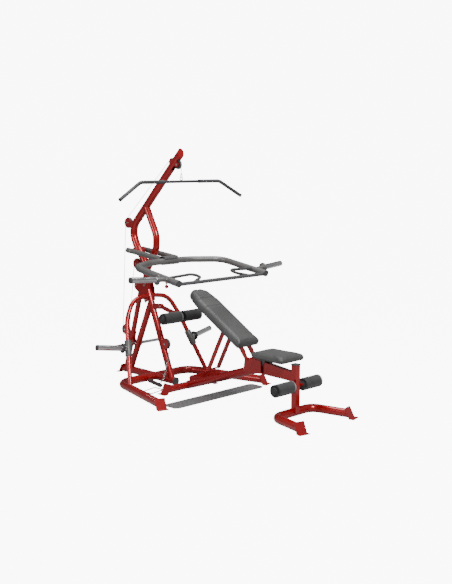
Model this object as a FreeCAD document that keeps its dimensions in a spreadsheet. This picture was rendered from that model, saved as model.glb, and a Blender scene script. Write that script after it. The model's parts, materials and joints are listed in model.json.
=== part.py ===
"""Multi station home gym: a leverage tower with a press arm, a lat and low cable, and a bench.

Millimetres. +X points from the tower to the foot end of the bench, +Z is up, +Y is the left
side, and the origin is on the floor under the middle of the whole machine. The machine is the
same on both sides, so most parts are made for side = +1 (left) and side = -1 (right).
"""
import FreeCAD, Part
import math
import os

V = FreeCAD.Vector
UP = V(0, 0, 1)
LEFT = V(0, 1, 0)
SIDES = (("left", 1), ("right", -1))

# Driving dimensions, written into the document's spreadsheet.
SIZES = {
    "boom_dia": 70, "loop_dia": 63, "leg_dia": 60, "rear_leg_dia": 57, "brace_dia": 48, "arch_dia": 42,
    "runner_dia": 73, "base_dia": 70, "tube_wall": 3, "yoke_dia": 57, "rail_dia": 48,
    "crossbar_dia": 32, "centre_plate_wide": 190, "grip_dia": 25, "horn_dia": 50, "horn_stub_dia": 38,
    "horn_flange_dia": 86, "horn_flange_thick": 8, "cap_thick": 10, "lat_bar_dia": 25,
    "pivot_shaft_dia": 25, "pivot_sleeve_dia": 56, "running_gap": 0.05, "free_gap": 0.3, "plate_thick": 6,
    "foot_plate_wide": 94, "sheave_radius": 45, "sheave_small_radius": 36, "sheave_tip_radius": 30,
    "sheave_thick": 18, "groove_radius": 4, "axle_dia": 10, "bolt_head_dia": 19,
    "bolt_head_thick": 6, "cable_dia": 5, "chain_dia": 10, "weight_bar_dia": 30,
    "carriage_dia": 62, "carriage_long": 120, "bench_spine_dia": 75, "bench_foot_dia": 64,
    "bench_front_dia": 70, "rack_wide": 40, "strut_dia": 14, "post_wide": 50,
    "roller_dia": 100, "roller_axle_dia": 25, "pad_wide": 260, "pad_thick": 62,
    "pad_long": 766, "seat_thick": 50, "floor_plate_thick": 6, "pin_dia": 12,
}

# Places on the centre plane (x, z), and half widths (y), of the things that others hang on.
ARM_PIVOT = V(-1000, 0, 1189)
TIP_FRONT_SHEAVE = V(-441, 0, 1975)
TIP_UPPER_SHEAVE = V(-520, 0, 1998)
REAR_SHEAVE = V(-1145, 0, 1437)
MID_SHEAVE = V(-1025, 0, 1065)
LOW_SHEAVE = V(-628, 0, 363)
CARRIAGE_SHEAVE = V(-1210, 0, 420)
WEIGHT_BAR = V(-1086, 0, 300)
HOLD_DOWN_PIVOT = V(-690, 0, 700)
HOLD_DOWN_AXLE = V(-420, 0, 640)
BACK_HINGE = V(440, 0, 400)
STRUT_TOP = V(180, 0, 590)
STRUT_FOOT = V(-2, 0, 240)
SEAT_HINGE = V(585, 0, 372)
ROLLER_AXLE = V(950, 0, 258)
BASE_HIGH = 40
BENCH_FOOT_HIGH = 37

doc = FreeCAD.newDocument("HomeGym")
sheet = doc.addObject("Spreadsheet::Sheet", "Dimensions")
for row, (alias, number) in enumerate(SIZES.items(), 1):
    sheet.set(f"A{row}", alias)
    sheet.set(f"B{row}", str(number))
    sheet.setAlias(f"B{row}", alias)
doc.recompute()

nodes = []


def size(alias):
    return float(sheet.get(alias))


def bind(thing, **expressions):
    """Tie properties to the sheet; each alias in an expression starts with an @."""
    for prop, text in expressions.items():
        thing.setExpression(prop, text.replace("@", "Dimensions."))
    return thing


def node(label, thing):
    """The finished sub-part; its label names its file, so no other object keeps that label."""
    for other in doc.getObjectsByLabel(label):
        other.Label = label + "_stage"
    thing.Label = label
    nodes.append(thing)
    return thing


def turned(start, towards):
    """A placement at start with its own Z along a direction."""
    return FreeCAD.Placement(start, FreeCAD.Rotation(UP, towards))


def bar(name, start, end, dia):
    """A round bar whose diameter is an expression of the sheet."""
    made = doc.addObject("Part::Cylinder", name)
    bind(made, Radius=f"({dia}) / 2")
    made.Height = (end - start).Length
    made.Placement = turned(start, end - start)
    return made


def cross_bar(name, centre, half, dia):
    """A round bar across the machine, centred on a point of the centre plane."""
    return bar(name, centre - LEFT * half, centre + LEFT * half, dia)


def cut(name, base, *tools):
    for tool in tools:
        result = doc.addObject("Part::Cut", name)
        result.Base = base
        result.Tool = tool
        base = result
    return base


def fuse(name, *pieces):
    result = doc.addObject("Part::MultiFuse", name)
    result.Shapes = list(pieces)
    return result


def group(name, *pieces):
    result = doc.addObject("Part::Compound", name)
    result.Links = list(pieces)
    return result


def bend(before, corner, after, radius):
    """The two ends and the middle of the arc that rounds a corner."""
    into = (corner - before).normalize()
    out = (after - corner).normalize()
    half = into.getAngle(out) / 2
    reach = radius * math.tan(half)
    side = (out - into).normalize()
    middle = corner + side * (radius / math.cos(half) - radius)
    return corner - into * reach, middle, corner + out * reach


def route(points, radii):
    """Straight runs joined by tangent arcs, one radius for each inner point."""
    edges = []
    here = points[0]
    for before, corner, after, radius in zip(points, points[1:], points[2:], radii):
        start, middle, end = bend(before, corner, after, radius)
        if (start - here).Length > 0.01:
            edges.append(Part.LineSegment(here, start).toShape())
        edges.append(Part.Arc(start, middle, end).toShape())
        here = end
    edges.append(Part.LineSegment(here, points[-1]).toShape())
    return Part.Wire(edges)


def swept(name, points, radii, dia):
    """A round bar along a route."""
    path = doc.addObject("Part::Feature", name + "_path")
    path.Shape = route(points, radii)
    ring = doc.addObject("Part::Circle", name + "_ring")
    bind(ring, Radius=f"({dia}) / 2")
    ring.Placement = turned(points[0], points[1] - points[0])
    made = doc.addObject("Part::Sweep", name)
    made.Sections = [ring]
    made.Spine = (path, [f"Edge{i + 1}" for i in range(len(path.Shape.Edges))])
    made.Solid = True
    made.Frenet = False
    return made


def tube(name, points, radii, dia):
    """A bent or straight tube: its hollow shape, and its outer shape to cope others with."""
    if radii:
        outer = swept(name + "_outer", points, radii, dia)
        inner = swept(name + "_inner", points, radii, f"{dia} - 2 * @tube_wall")
    else:
        outer = bar(name + "_outer", points[0], points[1], dia)
        inner = bar(name + "_inner", points[0], points[1], f"{dia} - 2 * @tube_wall")
    return cut(name + "_hollow", outer, inner), outer


def extruded(name, outline, thick, across=0.0, plane="XZ_Plane", where=None):
    """A flat piece with its outline in a plane of its own body, of even thickness about it."""
    body = doc.addObject("PartDesign::Body", name)
    sketch = body.newObject("Sketcher::SketchObject", name + "_outline")
    support = [part for part in body.Origin.OriginFeatures if part.Role == plane][0]
    sketch.AttachmentSupport = [(support, "")]
    sketch.MapMode = "FlatFace"
    closed = outline + outline[:1]
    for start, end in zip(closed, closed[1:]):
        sketch.addGeometry(Part.LineSegment(V(*start, 0), V(*end, 0)), False)
    pad = body.newObject("PartDesign::Pad", name + "_pad")
    pad.Profile = sketch
    bind(pad, Length=thick)
    pad.SideType = "Symmetric"
    body.Placement = where or FreeCAD.Placement(LEFT * across, FreeCAD.Rotation())
    return body


def strap(name, start, end, wide, thick, across):
    """A flat link with round ends between two points of a plane beside the centre plane."""
    shift = LEFT * (across - size(thick) / 2)
    depth = "@" + thick
    ends = []
    for place in (start, end):
        ends.append(bar(name + "_end", place + shift, place + shift + LEFT, str(wide)))
        bind(ends[-1], Height=depth)
    web = doc.addObject("Part::Box", name + "_web")
    run = end - start
    web.Length = run.Length
    web.Height = wide
    bind(web, Width=depth)
    lean = FreeCAD.Rotation(V(1, 0, 0), run)
    web.Placement = FreeCAD.Placement(start + shift - lean.multVec(UP) * (wide / 2), lean)
    return fuse(name, web, *ends)


def strap_pair(name, start, end, wide, thick, middle):
    """Two links, one each side of the centre plane."""
    return [strap(f"{name}_{side}", start, end, wide, thick, middle * sign)
            for side, sign in SIDES]


RECESS_DEEP = 4


def sheave(label, centre, radius):
    """A grooved cable wheel with a bore for its axle."""
    thick = size("sheave_thick")
    shift = LEFT * (thick / 2)
    rim = f"2 * (@{radius} + 5)"
    disc = bar(label + "_disc", centre - shift, centre + shift, rim)
    bind(disc, Height="@sheave_thick")
    groove = doc.addObject("Part::Torus", label + "_groove")
    bind(groove, Radius1=f"@{radius} + 5", Radius2="@groove_radius + 1")
    groove.Placement = turned(centre, LEFT)
    bore = cross_bar(label + "_bore", centre, thick, "@axle_dia + 2 * @running_gap")
    hollows = []
    for face, sign in SIDES:
        near = centre + LEFT * (sign * thick / 2)
        deep = near - LEFT * (sign * RECESS_DEEP)
        web = bar(f"{label}_web_{face}", deep, near + LEFT * sign, f"@{radius} * 1.5")
        hollows.append(cut(f"{label}_recess_{face}", web, hub_core(label + face, centre)))
    return node(label, cut(label, disc, groove, bore, *hollows))


def hub_core(name, centre):
    return cross_bar(name + "_hub", centre, size("sheave_thick"), "@axle_dia + 14")


def bolt(name, centre, half, dia="@axle_dia"):
    """A bolt across the machine with a hexagon head and nut outside the half width."""
    shank = cross_bar(name + "_shank", centre, half, dia)
    heads = []
    for face, sign in SIDES:
        head = doc.addObject("Part::Prism", f"{name}_{face}")
        head.Polygon = 6
        bind(head, Circumradius="@bolt_head_dia / 2", Height="@bolt_head_thick")
        head.Placement = turned(centre + LEFT * half * sign, LEFT * sign)
        heads.append(head)
    return fuse(name, shank, *heads)


def foot_place(ground, heading):
    """A placement on the floor with its own X along a heading."""
    degrees = math.degrees(math.atan2(heading.y, heading.x))
    return FreeCAD.Placement(ground, FreeCAD.Rotation(UP, degrees))


FOOT_TOP = 84
FOOT_RUN = 42
FOOT_TAB = 80


def foot_plate(name, ground, heading):
    """A bent plate that closes a tube end: a sloping face and a flat tab on the floor."""
    thick = size("plate_thick")
    outline = [(-4, FOOT_TOP), (3, FOOT_TOP), (FOOT_RUN + 2, thick), (FOOT_TAB, thick),
               (FOOT_TAB, 0), (FOOT_RUN - 4, 0)]
    return extruded(name, outline, "@foot_plate_wide", where=foot_place(ground, heading))


def foot_trim(name, ground, heading):
    """What a tube loses in front of the back of its foot plate."""
    lean = math.degrees(math.atan2(FOOT_RUN, FOOT_TOP))
    block = doc.addObject("Part::Box", name)
    block.Length = 400
    block.Width = 400
    block.Height = 400
    local = FreeCAD.Placement(V(FOOT_RUN - 4, 0, 0), FreeCAD.Rotation(LEFT, -lean))
    centred = FreeCAD.Placement(V(0, -200, -200), FreeCAD.Rotation())
    block.Placement = foot_place(ground, heading) * local * centred
    return block


# ---- tower ----
BOOM = [V(-330, 0, 2149), V(-1101, 0, 1384), V(-1022, 0, 1218), V(-892, 0, 1075),
        V(-888, 0, 790)]
BOOM_BENDS = [150, 300, 220]
LOOP = [V(-887, 0, 1603), V(-745, 0, 1340), V(-750, 0, 1220), V(-890, 0, 1010)]
LOOP_BENDS = [150, 150]
FRONT_LEG = [V(-873, 0, 835), V(-547, 0, BASE_HIGH)]
REAR_LEG = [V(-829, 0, 735), V(-1152, 0, BASE_HIGH)]
BRACE = [V(-965, 0, 865), V(-1215, 0, BASE_HIGH)]
RUNNER_BACK = V(-790, 403, BASE_HIGH)
RUNNER_FRONT = V(75, 624, BASE_HIGH)
RUNNER_SLOPE = (RUNNER_FRONT.y - RUNNER_BACK.y) / (RUNNER_FRONT.x - RUNNER_BACK.x)
RUNNER_FOOT_X = -7
REAR_FOOT = V(-1234, 0, 0)
BRACE_UP = (BRACE[0] - BRACE[1]).normalize()


def arch_points(sign):
    """From the runner up to the middle of the machine, where it meets the legs."""
    return [V(-574, 458 * sign, BASE_HIGH), V(-806, 305 * sign, 600),
            V(-842, 205 * sign, 765), V(-851, 0, 790)]


def runner_foot(sign):
    across = RUNNER_BACK.y + RUNNER_SLOPE * (RUNNER_FOOT_X - RUNNER_BACK.x)
    return V(RUNNER_FOOT_X, sign * across, 0)


def block(name, long, wide, high, place, rotation):
    """A box by one corner and its rotation."""
    made = doc.addObject("Part::Box", name)
    made.Length = long
    made.Width = wide
    made.Height = high
    made.Placement = FreeCAD.Placement(place, rotation)
    return made


def boom_frame():
    """The boom, its rear bend and the column in one bent tube, its tip closed by a plate."""
    hollow, outer = tube("boom", BOOM, BOOM_BENDS, "@boom_dia")
    tip_lean = FreeCAD.Rotation(LEFT, -11)
    tip = block("boom_tip_cut", 200, 200, 300, V(-382, -100, 1950), tip_lean)
    plug_end = bar("boom_plug", V(-441, 0, 2039), BOOM[0], "@boom_dia - 2 * @tube_wall")
    plug_back = block("boom_plug_back", 200, 200, 400, V(-588, -100, 1900), tip_lean)
    plug = cut("boom_tip_plate", plug_end, plug_back)
    along = (BOOM[0] - BOOM[1]).normalize()
    lean = FreeCAD.Rotation(V(1, 0, 0), along)
    corner = BOOM[0] - along * 286 - LEFT * 20 - lean.multVec(UP) * 150
    slot = block("boom_slot", 134, 40, 300, corner, lean)
    closed = fuse("boom_closed", hollow, plug)
    node("boom_tube", cut("boom_tube", closed, tip, slot, pivot_sleeve("boom_clear")))
    return outer


def pivot_sleeve(name):
    """The round sleeve that crosses the boom's lower bend and holds the press arm's shaft."""
    return cross_bar(name, ARM_PIVOT, 60, "@pivot_sleeve_dia")


def loop_tube(boom):
    hollow, outer = tube("loop", LOOP, LOOP_BENDS, "@loop_dia")
    node("loop_tube", cut("loop_tube", hollow, boom))
    return outer


def base_frame():
    """The spine on the floor and the two bent runners that leave it."""
    hollow, spine = tube("spine", [V(-1300, 0, BASE_HIGH), V(-500, 0, BASE_HIGH)], [], "@base_dia")
    trim = foot_trim("spine_trim", REAR_FOOT, V(-1, 0, 0))
    node("base_spine", cut("base_spine", hollow, trim))
    outers = {}
    runners = []
    feet = [foot_plate("rear_foot", REAR_FOOT, V(-1, 0, 0))]
    for side, sign in SIDES:
        points = [V(RUNNER_BACK.x, 0, BASE_HIGH)]
        points += [V(p.x, p.y * sign, p.z) for p in (RUNNER_BACK, RUNNER_FRONT)]
        hollow, outer = tube(f"runner_{side}", points, [130], "@runner_dia")
        heading = V(1, RUNNER_SLOPE * sign, 0)
        trim = foot_trim(f"runner_trim_{side}", runner_foot(sign), heading)
        runners.append(cut(f"base_runner_{side}", hollow, spine, trim))
        feet.append(foot_plate(f"runner_foot_{side}", runner_foot(sign), heading))
        outers[side] = outer
    node("base_runners", group("base_runners", *runners))
    node("base_foot_plates", group("base_foot_plates", *feet))
    return spine, outers


def legs(boom, spine):
    """The front leg carries the column; the rear leg and the brace run back to the spine."""
    hollow, front = tube("front_leg", FRONT_LEG, [], "@leg_dia")
    wheel_slot = cross_bar("low_wheel_slot", LOW_SHEAVE, 10.5, "2 * (@sheave_radius + 8)")
    node("front_leg", cut("front_leg", hollow, spine, boom, wheel_slot))
    hollow, rear = tube("rear_leg", REAR_LEG, [], "@rear_leg_dia")
    node("rear_leg", cut("rear_leg", hollow, spine, front))
    hollow, brace = tube("brace_leg", BRACE, [], "@brace_dia")
    node("brace_leg", cut("brace_leg", hollow, spine))
    return front


def arches_and_storage(front_leg, boom, runners):
    """Side arches, each with a sleeve that carries a plate storage horn."""
    caps = []
    storage = []
    arches = []
    for side, sign in SIDES:
        points = arch_points(sign)
        hollow, outer = tube(f"arch_{side}", points, [400, 170], "@arch_dia")
        arches.append(outer)
        node(f"side_arch_{side}", cut(f"side_arch_{side}", hollow, front_leg, boom, runners[side]))
        up = (points[1] - points[0]).normalize()
        middle = points[0] + up * 360
        tip = V(-764, 664 * sign, 403)
        out = (tip - middle).normalize()
        sleeve = bar(f"sleeve_{side}", middle - up * 70, middle + up * 70, "@arch_dia + 18")
        horn = bar(f"horn_{side}", middle, tip, "@horn_dia")
        hollow_end = bar(f"horn_hole_{side}", middle + out * 60, tip + out, "@horn_dia - 8")
        flange = bar(f"horn_flange_{side}", middle + out * 52, middle + out * 60, "@horn_flange_dia")
        clear = bar(f"arch_clear_{side}", middle - up * 75, middle + up * 75, "@arch_dia")
        body = fuse(f"storage_{side}", sleeve, horn, flange)
        storage.append(cut(f"storage_horn_{side}", body, hollow_end, clear))
        caps.append(bar(f"storage_cap_{side}", tip, tip + out * 10, "@horn_dia"))
    node("storage_horns", group("storage_horns", *storage))
    return caps, arches


def head_plates(arches):
    """Two gussets that clamp the column's foot, the leg tops and the brace's top."""
    outline = [(-1018, 892), (-858, 912), (-832, 850), (-826, 742), (-868, 716), (-905, 778),
               (-1018, 838)]
    pair = []
    for side, sign in SIDES:
        plate = extruded(f"head_plate_{side}", outline, "@plate_thick", HEAD_PLATE_Y * sign)
        pair.append(cut(f"head_plate_cut_{side}", plate, *arches))
    node("head_plates", group("head_plates", *pair))


HEAD_PLATE_Y = 41.2


def pulley_bracket(label, wheel, anchor, tubes, disc=46, middle=13.5):
    """A pair of links that hold a wheel, welded to the tubes beside it."""
    cheeks = []
    half = size("plate_thick") / 2
    for side, sign in SIDES:
        link = strap(f"{label}_{side}", wheel, anchor, 44, "plate_thick", middle * sign)
        round_part = cross_bar(f"{label}_disc_{side}", wheel + LEFT * (middle * sign), half, str(2 * disc))
        cheek = fuse(f"{label}_cheek_{side}", link, round_part)
        hole = cross_bar(f"{label}_hole_{side}", wheel, 40, "@axle_dia")
        cheeks.append(cut(f"{label}_cut_{side}", cheek, hole, *tubes))
    node(label, group(label, *cheeks))


def tip_bracket():
    """The two cheeks in the boom's slot, which hold both tip wheels."""
    cheeks = []
    for side, sign in SIDES:
        link = strap(f"tip_{side}", TIP_FRONT_SHEAVE, TIP_UPPER_SHEAVE, 46, "plate_thick", 16.8 * sign)
        holes = [cross_bar(f"tip_hole_{side}_{i}", at, 40, "@axle_dia")
                 for i, at in enumerate((TIP_FRONT_SHEAVE, TIP_UPPER_SHEAVE))]
        cheeks.append(cut(f"tip_cheek_{side}", link, *holes))
    node("top_pulley_bracket", group("top_pulley_bracket", *cheeks))


def arm_pivot():
    """The sleeve across the rear bend, and the shaft that the press arm swings on."""
    hole = cross_bar("pivot_hole", ARM_PIVOT, 80, "@pivot_shaft_dia")
    node("arm_pivot_bracket", cut("arm_pivot_bracket", pivot_sleeve("pivot_sleeve"), hole))
    shaft = cross_bar("pivot_shaft", ARM_PIVOT, 117, "@pivot_shaft_dia")
    collars = []
    for side, sign in SIDES:
        end = ARM_PIVOT + LEFT * (117 * sign)
        collars.append(bar(f"pivot_collar_{side}", end, end + LEFT * (6 * sign), "36"))
    node("arm_pivot_shaft", fuse("arm_pivot_shaft", shaft, *collars))


def tower_bolts():
    """Axle bolts of the fixed wheels, the gusset bolts and the hold-down's pivot bolt."""
    places = [(REAR_SHEAVE, 16.5), (MID_SHEAVE, 16.5), (LOW_SHEAVE, 16.5), (TIP_FRONT_SHEAVE, 19.8)]
    made = [bolt(f"axle_bolt_{i}", at, half) for i, (at, half) in enumerate(places)]
    made.append(cross_bar("axle_pin_tip", TIP_UPPER_SHEAVE, 19.8, "@axle_dia"))
    made.append(bolt("hold_down_bolt", HOLD_DOWN_PIVOT, 16.5, "@pin_dia"))
    for i, place in enumerate((V(-1003, 0, 866), V(-870, 0, 880), V(-856, 0, 742))):
        for side, sign in SIDES:
            head = doc.addObject("Part::Prism", f"head_bolt_{i}_{side}")
            head.Polygon = 6
            bind(head, Circumradius="@bolt_head_dia * 0.62", Height="@bolt_head_thick + 4")
            outside = HEAD_PLATE_Y + size("plate_thick") / 2
            head.Placement = turned(place + LEFT * (outside * sign), LEFT * sign)
            made.append(head)
    node("tower_bolts", group("tower_bolts", *made))


def hold_down(front_leg):
    """The foam rollers that hold the legs down at the tower, on a swinging arm."""
    cheeks = []
    for side, sign in SIDES:
        link = strap(f"hold_{side}", HOLD_DOWN_PIVOT, V(-815, 0, 690), 46, "plate_thick", 13.5 * sign)
        hole = cross_bar(f"hold_hole_{side}", HOLD_DOWN_PIVOT, 40, "@pin_dia")
        cheeks.append(cut(f"hold_cheek_{side}", link, hole, front_leg))
    node("hold_down_bracket", group("hold_down_bracket", *cheeks))
    outline = [(-708, 692), (-702, 717), (-425, 662), (-408, 640), (-425, 622), (-692, 682)]
    blade = extruded("hold_blade", outline, "20")
    bore = cross_bar("hold_bore", HOLD_DOWN_PIVOT, 40, "@pin_dia + 2 * @running_gap")
    axle = cross_bar("hold_axle", HOLD_DOWN_AXLE, 214, "@roller_axle_dia")
    ends = axle_ends("hold_end", HOLD_DOWN_AXLE, 214)
    node("hold_down_arm", fuse("hold_down_arm", cut("hold_arm", blade, bore), axle, *ends))
    node("hold_down_rollers", foam_pair("hold_foam", HOLD_DOWN_AXLE, 13, 213))


def axle_ends(name, axle, half):
    """The discs that keep a pair of foam sleeves on their axle."""
    made = []
    for side, sign in SIDES:
        start = axle + LEFT * (half * sign)
        made.append(bar(f"{name}_{side}", start, start + LEFT * (6 * sign), "58"))
    return made


def foam_pair(name, axle, inner, outer):
    """Two foam sleeves on one axle."""
    made = []
    for side, sign in SIDES:
        start = axle + LEFT * (inner * sign)
        end = axle + LEFT * (outer * sign)
        foam = bar(f"{name}_{side}", start, end, "@roller_dia")
        clear = "@roller_axle_dia + 2 * @free_gap"
        bore = bar(f"{name}_bore_{side}", start - LEFT * sign, end + LEFT * sign, clear)
        made.append(cut(f"{name}_sleeve_{side}", foam, bore))
    return group(name, *made)


# ---- cable, chain and floor pieces ----
CABLE_LIFT = 0.4


def wrap_radius(groove):
    """Where the cable's centre runs: on the floor of the groove with a little air."""
    return size(groove) + size("cable_dia") / 2 - size("groove_radius") + CABLE_LIFT + 4


def around(centre, radius, degrees):
    """A point on a wheel, the angle counted from +X towards +Z."""
    angle = math.radians(degrees)
    return centre + V(radius * math.cos(angle), 0, radius * math.sin(angle))


def outer_touch(first, second, r_first, r_second):
    """The angle, on both wheels, where a cable along their upper side touches them."""
    run = second - first
    heading = math.degrees(math.atan2(run.z, run.x))
    lean = math.degrees(math.asin((r_first - r_second) / run.Length))
    return (heading - 90 + lean) % 360


def cable_over_boom():
    """From the front of the tip wheel, over both tip wheels, to the rear wheel's back."""
    small = wrap_radius("sheave_small_radius")
    tip = wrap_radius("sheave_tip_radius")
    large = wrap_radius("sheave_radius")
    first = outer_touch(TIP_FRONT_SHEAVE, TIP_UPPER_SHEAVE, small, tip)
    second = outer_touch(TIP_UPPER_SHEAVE, REAR_SHEAVE, tip, large)
    back = REAR_SPAN_ANGLE
    edges = [arc(TIP_FRONT_SHEAVE, small, 0, first)]
    edges.append(line(around(TIP_FRONT_SHEAVE, small, first), around(TIP_UPPER_SHEAVE, tip, first)))
    edges.append(arc(TIP_UPPER_SHEAVE, tip, first, second))
    edges.append(line(around(TIP_UPPER_SHEAVE, tip, second), around(REAR_SHEAVE, large, second)))
    edges.append(arc(REAR_SHEAVE, large, second, back))
    node("cable_boom", cable("cable_boom", edges, TIP_FRONT_SHEAVE + V(small, 0, 0), UP))


REAR_SPAN_ANGLE = 176.3
CARRIAGE_TOUCH = -7.8
MID_TOUCH = 180 + CARRIAGE_TOUCH


def arc(centre, radius, start, end):
    middle = around(centre, radius, (start + end) / 2)
    return Part.Arc(around(centre, radius, start), middle, around(centre, radius, end)).toShape()


def line(start, end):
    return Part.LineSegment(start, end).toShape()


def cable(name, edges, start, towards):
    path = doc.addObject("Part::Feature", name + "_path")
    path.Shape = Part.Wire(edges)
    ring = doc.addObject("Part::Circle", name + "_ring")
    bind(ring, Radius="@cable_dia / 2")
    ring.Placement = turned(start, towards)
    made = doc.addObject("Part::Sweep", name)
    made.Sections = [ring]
    made.Spine = (path, [f"Edge{i + 1}" for i in range(len(edges))])
    made.Solid = True
    made.Frenet = False
    return made


def cable_spans():
    """The two taut spans that hang the weight carriage, and the lat bar's own span."""
    large = wrap_radius("sheave_radius")
    rear_top = around(REAR_SHEAVE, large, REAR_SPAN_ANGLE)
    rear_low = around(CARRIAGE_SHEAVE, large, REAR_SPAN_ANGLE)
    node("cable_rear_span", bar("cable_rear_span", rear_top, rear_low, "@cable_dia"))
    return_low = around(CARRIAGE_SHEAVE, large, CARRIAGE_TOUCH)
    return_top = around(MID_SHEAVE, large, MID_TOUCH)
    node("cable_return_span", bar("cable_return_span", return_low, return_top, "@cable_dia"))
    top = TIP_FRONT_SHEAVE + V(wrap_radius("sheave_small_radius"), 0, 0)
    node("cable_lat", bar("cable_lat", top, V(top.x, 0, 1899), "@cable_dia"))


def low_cable_and_chain(front_leg, boom):
    """Over the middle wheel into the column, and out of the front leg over the low wheel."""
    large = wrap_radius("sheave_radius")
    leaves = around(MID_SHEAVE, large, 70)
    over = [arc(MID_SHEAVE, large, MID_TOUCH, 70), line(leaves, leaves + V(76, 0, -27.7))]
    begins = around(MID_SHEAVE, large, MID_TOUCH)
    rising = around(V(0, 0, 0), 1, MID_TOUCH - 90)
    upper = cut("cable_mid_cut", cable("cable_mid", over, begins, rising), boom)
    top = around(LOW_SHEAVE, large, 90)
    inside = top - V(40, 0, 0)
    side = around(LOW_SHEAVE, large, 0)
    end = V(side.x, 0, 305)
    out = [line(inside, top), arc(LOW_SHEAVE, large, 90, 0), line(side, end)]
    lower = cut("cable_out_cut", cable("cable_out", out, inside, V(1, 0, 0)), front_leg)
    node("cable_low", group("cable_low", upper, lower))
    points = [end - UP, V(-580, -14, 255), V(-579, -30, 190), V(-577, -52, 120), V(-570, -84, 62),
              V(-560, -122, 41)]
    node("low_chain", swept("low_chain", points, [60, 90, 90, 40], "@chain_dia"))


def floor_pieces():
    """The tread plate between the front feet, and the low bar and stirrup on the floor."""
    outline = [(-60, -500), (-35, -525), (85, -525), (110, -490), (110, 490), (85, 525),
               (-35, 525), (-60, 500)]
    place = FreeCAD.Placement(V(0, 0, size("floor_plate_thick") / 2), FreeCAD.Rotation())
    node("floor_plate", extruded("floor_plate", outline, "@floor_plate_thick", plane="XY_Plane", where=place))
    grip = bar("low_bar", V(-742, -105, 19), V(-530, -150, 19), "36")
    collar = bar("low_bar_collar", V(-560, -143.6, 19), V(-536, -148.7, 19), "38")
    corners = [V(-556, -196, 5), V(-444, -196, 5), V(-404, -362, 5), V(-518, -362, 5),
               V(-556, -204, 5)]
    frame = swept("stirrup", corners, [18, 18, 18], "9")
    node("low_handles", group("low_handles", fuse("low_grip", grip, collar), frame))


# ---- press arm ----
YOKE_FRONT_Z = 1033
YOKE_BENDS = [140, 330, 330, 140]
RAIL_Y = 90
RAIL_BACK = V(-1050, 0, 1194)
RAIL_FRONT = V(-578, 0, 1146)


YOKE_END = V(132, 505, YOKE_FRONT_Z)
YOKE_CORNER = V(-420, 500, 1117)


def yoke_points():
    half = [YOKE_CORNER, V(-572, 205, 1125)]
    left = [YOKE_END] + half
    right = [V(p.x, -p.y, p.z) for p in reversed(left)]
    return left + right


CROSSBAR = V(112, 0, 1025)


def press_arm():
    hollow, yoke = tube("yoke", yoke_points(), YOKE_BENDS, "@yoke_dia")
    node("arm_yoke", hollow)
    rails = []
    for side, sign in SIDES:
        start = RAIL_BACK + LEFT * (RAIL_Y * sign)
        end = RAIL_FRONT + LEFT * (RAIL_Y * sign)
        shell, _ = tube(f"rail_{side}", [start, end], [], "@rail_dia")
        pivot = ARM_PIVOT + LEFT * (RAIL_Y * sign)
        boss = bar(f"rail_boss_{side}", pivot - LEFT * 26, pivot + LEFT * 26, "@pivot_shaft_dia + 10")
        clear = "@pivot_shaft_dia + 2 * @running_gap"
        bore = bar(f"rail_bore_{side}", pivot - LEFT * 30, pivot + LEFT * 30, clear)
        rails.append(cut(f"rail_cut_{side}", fuse(f"rail_body_{side}", shell, boss), bore, yoke))
    node("arm_rails", group("arm_rails", *rails))
    outline = [(-608, 1094), (-551, 1094), (-547, 1130), (-551, 1166), (-590, 1168), (-608, 1140)]
    plate = extruded("centre_plate", outline, "@centre_plate_wide")
    beside = [outer_rail(side, sign) for side, sign in SIDES]
    node("arm_centre_plate", cut("arm_centre_plate", plate, yoke, *beside))
    cross = cross_bar("crossbar", CROSSBAR, 505, "@crossbar_dia")
    crossbar = cut("arm_crossbar", cross, yoke)
    node("arm_crossbar", crossbar)
    grips = []
    horns = []
    caps = []
    for side, sign in SIDES:
        points = [V(-20, 500 * sign, 1063), V(-25, 207 * sign, 1075), V(65, 207 * sign, 1055),
                  V(CROSSBAR.x, 330 * sign, CROSSBAR.z)]
        loop = swept(f"hand_grip_{side}", points, [55, 34], "@grip_dia")
        grips.append(cut(f"hand_grip_cut_{side}", loop, yoke, cross))
        horn, cap = arm_horn(side, sign, yoke)
        horns.append(horn)
        caps.append(cap)
        end = V(YOKE_END.x, YOKE_END.y * sign, YOKE_END.z)
        along = (end - V(YOKE_CORNER.x, YOKE_CORNER.y * sign, YOKE_CORNER.z)).normalize()
        caps.append(bar(f"yoke_cap_{side}", end, end + along * 8, "@yoke_dia"))
        back = RAIL_BACK + LEFT * (RAIL_Y * sign)
        away = (RAIL_BACK - RAIL_FRONT).normalize()
        caps.append(bar(f"rail_cap_{side}", back, back + away * 6, "@rail_dia"))
    node("arm_hand_grips", group("arm_hand_grips", *grips))
    node("arm_plate_horns", group("arm_plate_horns", *horns))
    node("arm_end_caps", group("arm_end_caps", *caps))
    pop_pin()


def outer_rail(side, sign):
    """The outside of a rail, run on past its end, to cut the centre plate with."""
    start = RAIL_BACK + LEFT * (RAIL_Y * sign)
    run = RAIL_FRONT - RAIL_BACK
    return bar(f"rail_clear_{side}", start, start + run * 1.1, "@rail_dia")


def arm_horn(side, sign, yoke):
    """A plate horn: a stub on the arm, a flange, the horn and its cap."""
    root = V(3, 505 * sign, 1056)
    tip = V(-28, 862 * sign, 1079)
    out = (tip - root).normalize()
    stub = bar(f"arm_stub_{side}", root, root + out * 112, "@horn_stub_dia")
    flange = bar(f"arm_flange_{side}", root + out * 108, root + out * 116, "@horn_flange_dia")
    horn = bar(f"arm_horn_{side}", root + out * 112, tip, "@horn_dia")
    hole = bar(f"arm_horn_hole_{side}", root + out * 120, tip + out, "@horn_dia - 8")
    body = cut(f"arm_horn_cut_{side}", fuse(f"arm_horn_body_{side}", stub, flange, horn), hole, yoke)
    return body, bar(f"arm_cap_{side}", tip, tip + out * 10, "@horn_dia")


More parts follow.
